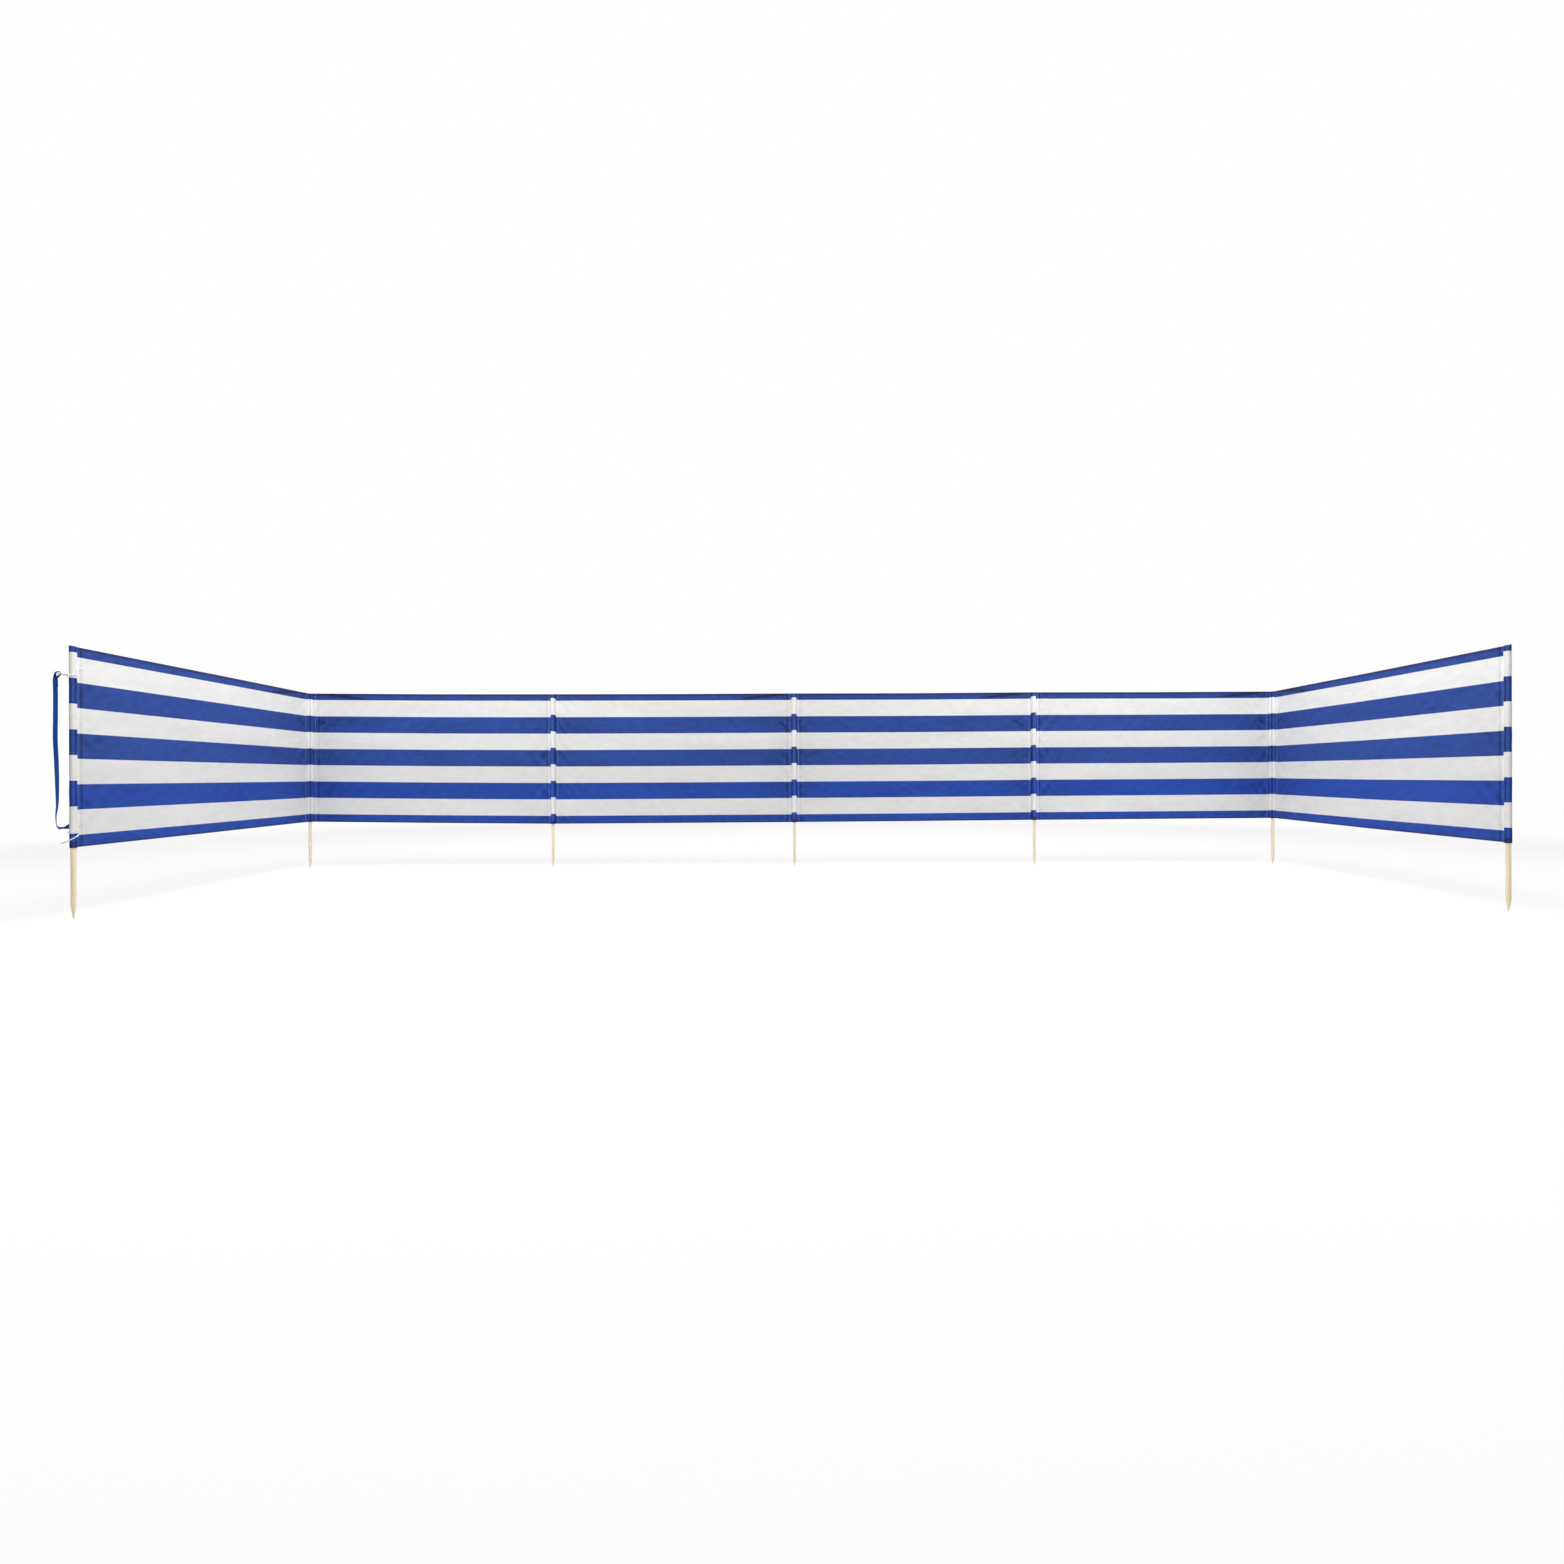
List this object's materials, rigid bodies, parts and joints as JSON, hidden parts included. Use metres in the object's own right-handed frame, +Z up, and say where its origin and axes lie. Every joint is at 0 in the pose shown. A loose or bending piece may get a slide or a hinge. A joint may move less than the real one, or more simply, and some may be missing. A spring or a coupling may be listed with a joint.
{
  "type": "beach windbreak",
  "caption": "Striped cloth beach windbreak set up in a U: bays of cloth with sewn sleeves on pointed round wooden stakes, and a webbing carry strap tied to an end stake.",
  "frame": {"origin": "centre of the blunt tip of the centre stake", "axes": "+X along the back row to the right as seen from the sheltered side, +Y away from the sheltered side, +Z up along the stakes"},
  "size_m": [5.6246, 1.4507, 1.002],
  "materials": {
    "stake_wood": "bare planed softwood, satin",
    "striped_cloth": "woven cloth with blue and white stripes, matte",
    "sleeve_cloth": "woven cloth with blue and white stripes, sewn as a sleeve, matte",
    "strap_webbing": "flat woven webbing, satin",
    "tie_cord": "thin twisted white cord, matte"
  },
  "bodies": {
    "root": {"left_end_stake": "stake_wood", "left_corner_stake": "stake_wood", "left_back_stake": "stake_wood", "centre_stake": "stake_wood", "right_back_stake": "stake_wood", "right_corner_stake": "stake_wood", "right_end_stake": "stake_wood", "left_wing_panel": "striped_cloth", "back_panel_1": "striped_cloth", "back_panel_2": "striped_cloth", "back_panel_3": "striped_cloth", "back_panel_4": "striped_cloth", "right_wing_panel": "striped_cloth", "left_end_sleeve": "sleeve_cloth", "left_corner_sleeve": "sleeve_cloth", "left_back_sleeve": "sleeve_cloth", "centre_sleeve": "sleeve_cloth", "right_back_sleeve": "sleeve_cloth", "right_corner_sleeve": "sleeve_cloth", "right_end_sleeve": "sleeve_cloth", "carry_strap": "strap_webbing", "upper_tie_cord": "tie_cord", "lower_tie_cord": "tie_cord"}
  },
  "joints": []
}
